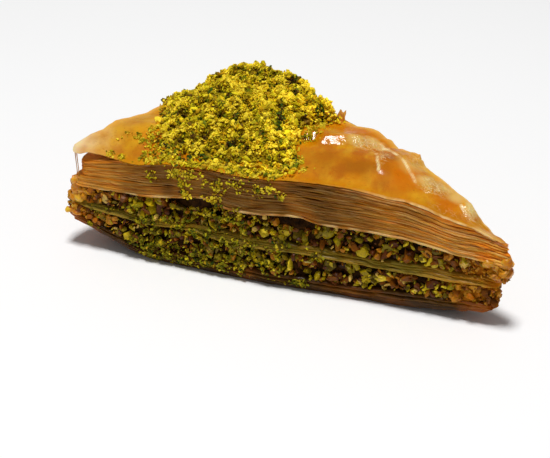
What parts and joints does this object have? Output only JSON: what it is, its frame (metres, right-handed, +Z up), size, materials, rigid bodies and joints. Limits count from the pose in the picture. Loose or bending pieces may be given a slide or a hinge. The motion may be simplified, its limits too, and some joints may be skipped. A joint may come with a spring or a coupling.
{
  "type": "baklava slice",
  "caption": "Triangular slice of baklava with flaky glazed filo leaves, two chopped pistachio fillings and a heap of ground pistachio on its back corner.",
  "frame": {"origin": "on the table under the middle of the slice's plan, inside the flat underside", "axes": "+Z up, +X along the long cut side towards the sharp right tip, -Y out of the long cut side"},
  "size_m": [0.1005, 0.0495, 0.0354],
  "materials": {
    "syrup_soaked_pastry": "dark brown pastry soaked with syrup, satin",
    "lower_nut_filling": "moist chopped pistachio, olive green to brown",
    "translucent_pastry": "thin olive-amber pastry leaves, satin",
    "upper_nut_filling": "moist chopped pistachio, yellow-green to brown",
    "glazed_pastry": "amber glazed filo, glossy on top, matt at the cut edges",
    "ground_pistachio": "dry ground pistachio, mustard yellow-green"
  },
  "bodies": {
    "root": {"bottom_pastry": "syrup_soaked_pastry", "lower_filling": "lower_nut_filling", "middle_pastry": "translucent_pastry", "upper_filling": "upper_nut_filling", "top_pastry": "glazed_pastry", "pistachio_heap": "ground_pistachio"}
  },
  "joints": []
}
